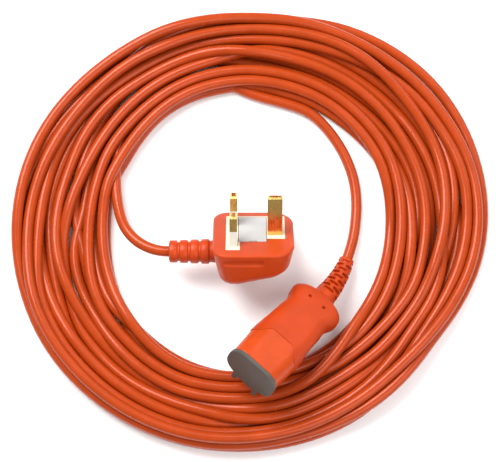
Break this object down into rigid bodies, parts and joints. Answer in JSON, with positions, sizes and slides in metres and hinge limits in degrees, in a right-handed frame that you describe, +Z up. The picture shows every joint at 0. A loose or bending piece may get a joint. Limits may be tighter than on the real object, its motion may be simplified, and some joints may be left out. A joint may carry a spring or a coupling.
{
  "type": "mains lead",
  "caption": "Coiled two-core garden-tool mains lead with a fused three-pin plug and a two-pin connector under a sprung lid.",
  "frame": {"origin": "on the surface that the lead lies on, midway between the outer limits of its plug and its connector", "axes": "+Z up, +X from the plug's cable towards its earth pin, +Y across the coil, away from the connector's mouth"},
  "size_m": [0.256, 0.242, 0.0499],
  "materials": {
    "cable_sheath": "soft PVC sheath, satin",
    "plug_cover": "moulded PVC, satin",
    "inner_nylon": "natural nylon",
    "pin_brass": "bright brass",
    "pin_sleeve": "moulded sleeve",
    "face_card": "stiff card",
    "carrier_grey": "light grey moulding",
    "fuse_ceramic": "unglazed ceramic",
    "fuse_cap": "nickel plate",
    "clip_brass": "sprung brass",
    "contact_brass": "sprung brass",
    "core_brown": "insulated core",
    "core_blue": "insulated core",
    "connector_cover": "moulded PVC, satin",
    "shroud_orange": "moulded polypropylene, satin",
    "socket_orange": "moulded polypropylene, satin",
    "hinge_steel": "bright steel",
    "spring_steel": "bright spring wire",
    "lid_grey": "dark grey moulding",
    "lid_seal": "soft seal"
  },
  "bodies": {
    "lead": {"cable_coil": "cable_sheath", "plug_tail": "cable_sheath", "connector_tail": "cable_sheath", "boot_cable": "cable_sheath", "plug_cable_end": "cable_sheath", "connector_cable_end": "cable_sheath", "plug_body": "plug_cover", "plug_strain_relief": "plug_cover", "plug_core": "inner_nylon", "live_pin": "pin_brass", "neutral_pin": "pin_brass", "earth_pin": "pin_brass", "live_sleeve": "pin_sleeve", "neutral_sleeve": "pin_sleeve", "face_card": "face_card", "fuse_clip_live": "clip_brass", "fuse_clip_cable": "clip_brass", "crimp_live": "clip_brass", "crimp_neutral": "clip_brass", "plug_core_brown": "core_brown", "plug_core_blue": "core_blue", "connector_body": "connector_cover", "connector_boot": "connector_cover", "connector_shroud": "shroud_orange", "socket_insert": "socket_orange", "contact_live": "contact_brass", "contact_neutral": "contact_brass", "contact_crimps": "contact_brass", "connector_core": "inner_nylon", "connector_core_brown": "core_brown", "connector_core_blue": "core_blue", "hinge_pin": "hinge_steel", "torsion_spring": "spring_steel"},
    "lid_body": {"lid": "lid_grey", "lid_seal": "lid_seal"},
    "fuse_drawer": {"fuse_carrier": "carrier_grey", "fuse_body": "fuse_ceramic", "fuse_end_caps": "fuse_cap"}
  },
  "joints": [
    {"name": "lid_hinge", "type": "hinge", "parent": "lead", "child": "lid_body", "pos_m": [-0.00381, -0.0409, 0.02306], "axis": [0.7478, -0.6639, 0], "range_deg": [0, 90], "stiffness_Nm_per_rad": 0.012, "springref_deg": -28.65},
    {"name": "fuse_carrier_slide", "type": "slide", "parent": "lead", "child": "fuse_drawer", "axis": [0, 0.7431, 0.6691], "range_m": [0, 0.012]}
  ]
}
